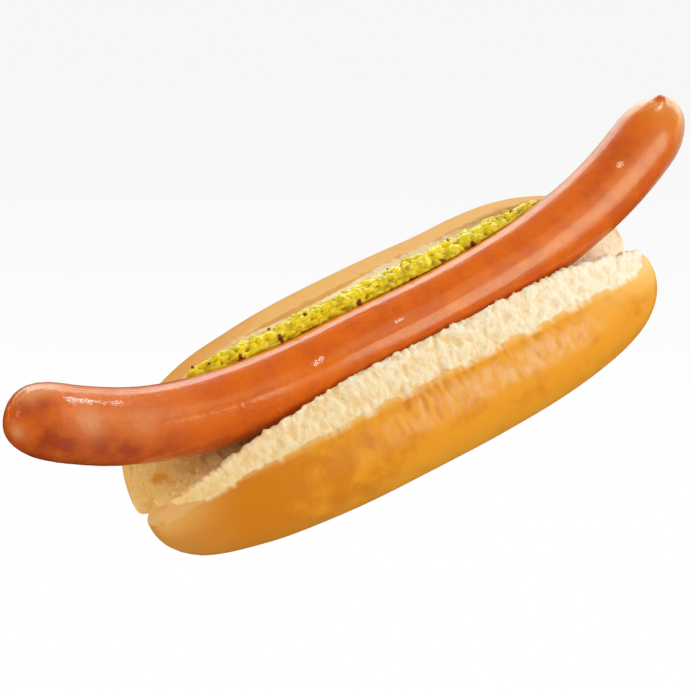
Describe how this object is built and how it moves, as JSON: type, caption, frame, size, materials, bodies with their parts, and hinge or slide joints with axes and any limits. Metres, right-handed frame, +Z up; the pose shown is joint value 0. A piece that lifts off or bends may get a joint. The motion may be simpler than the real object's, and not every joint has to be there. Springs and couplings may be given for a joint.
{
  "type": "hot dog",
  "caption": "Hot dog: a long curved grilled sausage in a soft split bun, with chopped pickle relish along its far side.",
  "frame": {"origin": "middle of the bun's flat underside", "axes": "+X along the bun, +Y across it towards the relish, +Z up"},
  "size_m": [0.2247, 0.0681, 0.0587],
  "materials": {
    "bread": "soft golden crust, cream crumb on the cut faces",
    "sausage": "shiny grilled casing",
    "relish": "wet and glossy"
  },
  "bodies": {
    "root": {"bun": "bread", "sausage": "sausage", "relish": "relish"}
  },
  "joints": []
}
